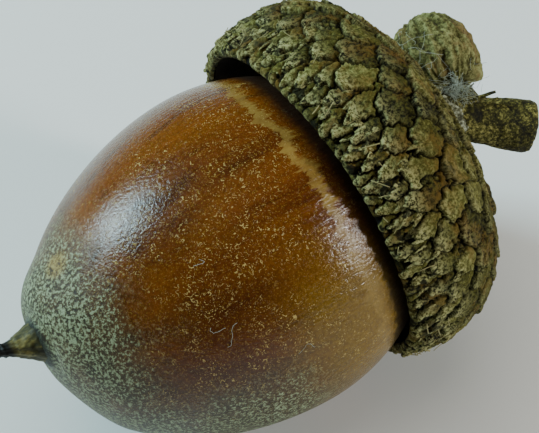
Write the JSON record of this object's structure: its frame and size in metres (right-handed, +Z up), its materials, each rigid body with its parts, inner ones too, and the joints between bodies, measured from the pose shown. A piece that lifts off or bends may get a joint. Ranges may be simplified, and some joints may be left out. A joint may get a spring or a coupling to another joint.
{
  "type": "acorn",
  "caption": "Acorn lying on its side: a glossy ovoid nut with a pointed beak, seated loose in a domed scaly cup, with a short cut stalk and a small undeveloped acorn behind it.",
  "frame": {"origin": "centre of the acorn's footprint on the surface that it lies on", "axes": "+Z up; -X towards the nut's beak, +X towards the cut stalk"},
  "size_m": [0.0352, 0.0218, 0.0215],
  "materials": {
    "nut_shell": "glossy brown shell with a dull bloom over its nose",
    "cup_scales": "rough olive brown scales",
    "stalk_bark": "matt speckled bark",
    "young_scales": "downy wrinkled scales"
  },
  "bodies": {
    "root": {"nut": "nut_shell", "cup": "cup_scales", "stalk": "stalk_bark", "young_acorn": "young_scales"}
  },
  "joints": []
}
